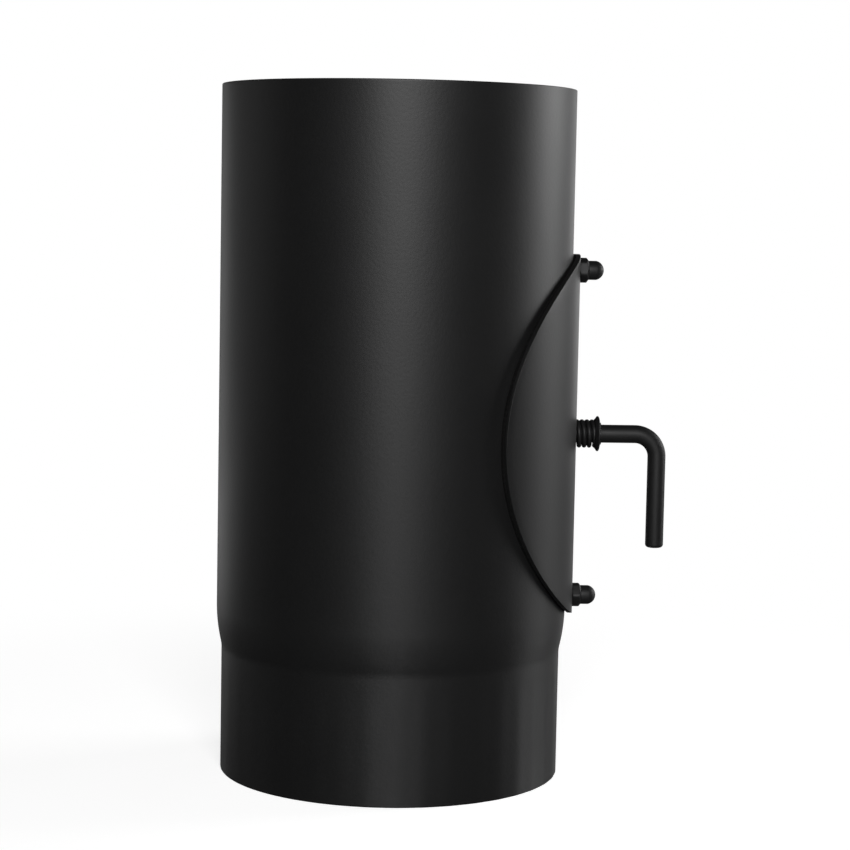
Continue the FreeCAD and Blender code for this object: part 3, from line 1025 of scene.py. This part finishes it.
@dataclass
class CapNuts:
    """The two domed nuts that hold the door."""

    sides: int = 6
    across_flats: float = 10.0
    across_corners: float = 11.05
    hex_height: float = 4.2
    chamfer: float = 1.0
    seat_relief: float = 0.5
    seat_chamfer: float = 0.3
    dome_diameter: float = 8.4
    dome_rise: float = 3.4
    dome_end: float = 88.0
    height: float = 11.0
    turns: Pair = (49.0, 28.0)
    corner_power: float = 18.0
    crisp: float = 24.0
    side_steps: int = 14
    chamfer_steps: int = 8
    dome_steps: int = 12

    def hexagon(self, angle: float) -> float:
        """The hexagon's radius at an angle, with softened corners.

        Args:
            angle: the angle from one of the corners, in radians.

        Returns:
            The radius.
        """
        faces = [math.cos(angle - FULL_TURN * (n + 0.5) / self.sides) for n in range(self.sides)]
        total = sum(max(face, 0.0) ** self.corner_power for face in faces)
        return self.across_flats / 2 * total ** (-1 / self.corner_power)

    def skin(self) -> Skin:
        """One nut, standing on its seat.

        Returns:
            The nut's surface.
        """
        angles = around(self.sides * self.side_steps)
        corner, dome = self.across_corners / 2, self.dome_diameter / 2
        shoulder = self.hex_height - self.chamfer
        limits = [(0.0, dome), (0.0, corner - self.seat_relief)]
        limits += [(self.seat_chamfer, corner), (shoulder, corner)]
        for share in np.linspace(0, 1, self.chamfer_steps + 1)[1:]:
            limits.append((shoulder + self.chamfer * share, corner + (dome - corner) * share))
        rows = []
        for level, limit in limits:
            rows.append(around_z(lambda a, most=limit: min(self.hexagon(a), most), level, angles))
        ball = (dome ** 2 + self.dome_rise ** 2) / (2 * self.dome_rise)
        lowest = math.degrees(math.asin((ball - self.dome_rise) / ball))
        for r, level in arc((0, self.height - ball), ball, lowest, self.dome_end, self.dome_steps):
            rows.append(around_z(lambda a, size=r: size, level, angles))
        return Skin().tube(rows)

    def build(self) -> bpy.types.Object:
        """Build both nuts, each turned as it was tightened.

        Returns:
            The pair's object.
        """
        pair = Skin()
        for height, turn in zip(LAYOUT.stud_heights, self.turns):
            spin = Matrix.Rotation(math.radians(turn), 4, "X")
            seat = Matrix.Translation((LAYOUT.door_face, 0, height))
            pair.join(self.skin().moved(seat @ spin @ along_x(0, 0)))
        return pair.piece("cap_nut_pair", self.crisp)

    def dress(self) -> None:
        """Build the nuts and paint them."""
        place(self.build(), Carrier.PIPE, SATIN_BLACK, "cap_nuts")


SOLID_FINISHES: dict[str, Finish] = {
    "pipe_body": STOVE_PAINT,
    "cleaning_door": STOVE_PAINT,
    "damper_disc": STOVE_PAINT,
    "door_gasket": GLASS_FIBRE,
    "door_studs": ZINC,
    "disc_screws": ZINC,
    "outer_retainer": SATIN_BLACK,
    "inner_retainer": SATIN_BLACK,
    "cap_nuts": SATIN_BLACK,
    "friction_spring": SATIN_BLACK,
    "spindle_handle": SATIN_BLACK,
}


def coat_solids() -> None:
    """Give every solid of the frame its finish."""
    for node, finish in SOLID_FINISHES.items():
        coat(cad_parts[node], finish.material())
        LOG.info("%s: %s", node, finish.name)


# Studio, with all sizes in metres


@dataclass(frozen=True)
class Softbox:
    """One soft lamp, on a circle round the part: the camera's side is at 0 degrees and the door's at 90."""

    name: str
    azimuth: float
    distance: float
    height: float
    width: float
    tall: float
    watts: float
    face_up: bool = False
    spread_degrees: float = 180.0

    def build(self, aim: Vector) -> None:
        """Hang the lamp so that it faces a point, or lay it on its back.

        Args:
            aim: the point on the part that hung lamps face.
        """
        turn = math.radians(self.azimuth)
        stand = Vector((self.distance * math.sin(turn), -self.distance * math.cos(turn), self.height))
        ahead = Vector((0, 0, 1)) if self.face_up else aim - stand
        data = bpy.data.lights.new(self.name, "AREA")
        data.shape = "RECTANGLE"
        data.size = self.width
        data.size_y = self.tall
        data.energy = self.watts
        data.spread = math.radians(self.spread_degrees)
        lamp = bpy.data.objects.new(self.name, data)
        lamp.visible_camera = False
        bpy.context.collection.objects.link(lamp)
        facing = ahead.to_track_quat("-Z", "Y").to_matrix().to_4x4()
        lamp.matrix_world = Matrix.Translation(stand) @ facing
        LOG.info("%s: %.2f W", self.name, self.watts)


SOFTBOXES = (
    Softbox("front_high", 0.0, 1.5, 0.75, 0.62, 0.3, 10.8),
    Softbox("front_low", -2.0, 1.5, 0.3, 0.6, 0.55, 2.35),
    Softbox("right_middle", 109.0, 1.25, 0.47, 0.6, 0.4, 4.75),
    Softbox("right_low", 104.0, 1.25, 0.13, 0.6, 0.24, 0.8),
    Softbox("back_right", 150.0, 1.25, 0.22, 0.35, 0.4, 0.8),
    Softbox("back_left", -148.0, 1.25, 0.2, 0.5, 0.38, 0.48),
    Softbox("left_wide", -108.0, 1.25, 0.3, 1.0, 0.5, 0.52),
    Softbox("left_card", -135.0, 0.85, 0.003, 0.6, 0.6, 0.95, face_up=True),
    Softbox("mouth", 0.0, 0.0, 0.9, 0.06, 0.06, 0.05, spread_degrees=8.0),
)


@dataclass
class Studio:
    """The pale floor, the soft lights and the camera."""

    softboxes: tuple[Softbox, ...] = SOFTBOXES
    aim: Point = (0.0, 0.0, 0.15)
    camera_place: Point = (-0.05373, -1.02519, 0.2516)
    pitch_degrees: float = 5.49
    yaw_degrees: float = 3.76
    roll_degrees: float = 1.10
    focal_pixels: float = 2340.0
    frame_pixels: float = 850.0
    sensor_mm: float = 36.0
    clip_start: float = 0.01
    white: Colour = (1.0, 1.0, 1.0)
    floor_half_size: float = 3.0
    floor_grey: Colour = (0.16, 0.16, 0.16)
    floor_roughness: float = 0.2
    floor_pale: Colour = (0.8, 0.8, 0.8)
    floor_glow: float = 0.78
    shadow_end: Pair = (0.18, 0.45)
    room_level: float = 0.004
    backdrop_level: float = 0.02
    backdrop_edge: Pair = (0.62, 0.95)

    def build_camera(self) -> None:
        """Set the camera where the view's lines put it."""
        pitch = math.radians(self.pitch_degrees)
        yaw = math.radians(self.yaw_degrees)
        roll = math.radians(self.roll_degrees)
        ahead = Vector((math.sin(yaw) * math.cos(pitch), math.cos(yaw) * math.cos(pitch), -math.sin(pitch)))
        level = ahead.cross(Vector((0, 0, 1))).normalized()
        upright = level.cross(ahead)
        right = math.cos(roll) * level + math.sin(roll) * upright
        up = math.cos(roll) * upright - math.sin(roll) * level
        data = bpy.data.cameras.new("view_camera")
        data.sensor_width = self.sensor_mm
        data.lens = self.focal_pixels / self.frame_pixels * self.sensor_mm
        data.clip_start = self.clip_start
        camera = bpy.data.objects.new("view_camera", data)
        bpy.context.collection.objects.link(camera)
        turn = Matrix((right, up, -ahead)).transposed().to_4x4()
        camera.matrix_world = Matrix.Translation(Vector(self.camera_place)) @ turn
        bpy.context.scene.camera = camera

    def glow(self, shader: Shader, strength: float) -> Link:
        """A white light of its own, of one strength."""
        sockets = {"Color": (*self.white, 1.0), "Strength": strength}
        return shader.node("ShaderNodeEmission", {}, sockets)

    def build_floor(self) -> None:
        """Lay the floor, white with a shadow to the camera and a satin table to everything else."""
        half = self.floor_half_size
        corners = [(-half, -half, 0), (half, -half, 0), (half, half, 0), (-half, half, 0)]
        mesh = bpy.data.meshes.new("floor")
        mesh.from_pydata(corners, [], [(0, 1, 2, 3)])
        floor = bpy.data.objects.new("floor", mesh)
        bpy.context.collection.objects.link(floor)
        shader, made = new_material("pale_floor")
        satin = {"Base Color": (*self.floor_grey, 1.0), "Roughness": self.floor_roughness}
        table = shader.node("ShaderNodeBsdfPrincipled", {}, satin)
        pale = shader.node("ShaderNodeBsdfDiffuse", {}, {"Color": (*self.floor_pale, 1.0)})
        near = shader.node("ShaderNodeAddShader", {}, {0: pale, 1: self.glow(shader, self.floor_glow)})
        length = {"operation": "LENGTH"}
        away = shader.node("ShaderNodeVectorMath", length, {0: shader.place()}, output="Value")
        far = {0: away.ramp(*self.shadow_end), 1: near, 2: self.glow(shader, 1.0)}
        shown = shader.node("ShaderNodeMixShader", {}, far)
        seen = shader.node("ShaderNodeLightPath", {}, {}, output="Is Camera Ray")
        shader.surface(shader.node("ShaderNodeMixShader", {}, {0: seen, 1: table, 2: shown}))
        coat(floor, made)

    def build_world(self) -> None:
        """Set a white background behind the part and a dim room in front of it."""
        world = bpy.data.worlds.new("studio")
        bpy.context.scene.world = world
        world.use_nodes = True
        shader = Shader(world.node_tree)
        seen = shader.node("ShaderNodeLightPath", {}, {}, output="Is Camera Ray")
        mirrored = seen.output("Is Glossy Ray").largest(seen.output("Is Transmission Ray"))
        direction = shader.node("ShaderNodeTexCoord", {}, {}, output="Generated")
        depth = shader.node("ShaderNodeSeparateXYZ", {}, {"Vector": direction}, output="Y")
        room = self.room_level + mirrored * depth.ramp(*self.backdrop_edge) * self.backdrop_level
        sockets = {"Color": (*self.white, 1.0), "Strength": seen.largest(room)}
        shader.surface(shader.node("ShaderNodeBackground", {}, sockets))

    def build(self) -> None:
        """Build the whole studio."""
        bpy.context.scene.view_settings.view_transform = "Standard"
        self.build_camera()
        self.build_floor()
        self.build_world()
        for softbox in self.softboxes:
            softbox.build(Vector(self.aim))


def main() -> None:
    """Build the pieces in order, then the studio."""
    logging.basicConfig(level=logging.INFO, format="%(message)s")
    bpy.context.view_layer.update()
    coat_solids()
    for assembly in (PipeSection(), CleaningDoor(), HandleBar(), FrictionSpring(), CapNuts()):
        assembly.dress()
    Studio().build()


if __name__ == "__main__":
    main()
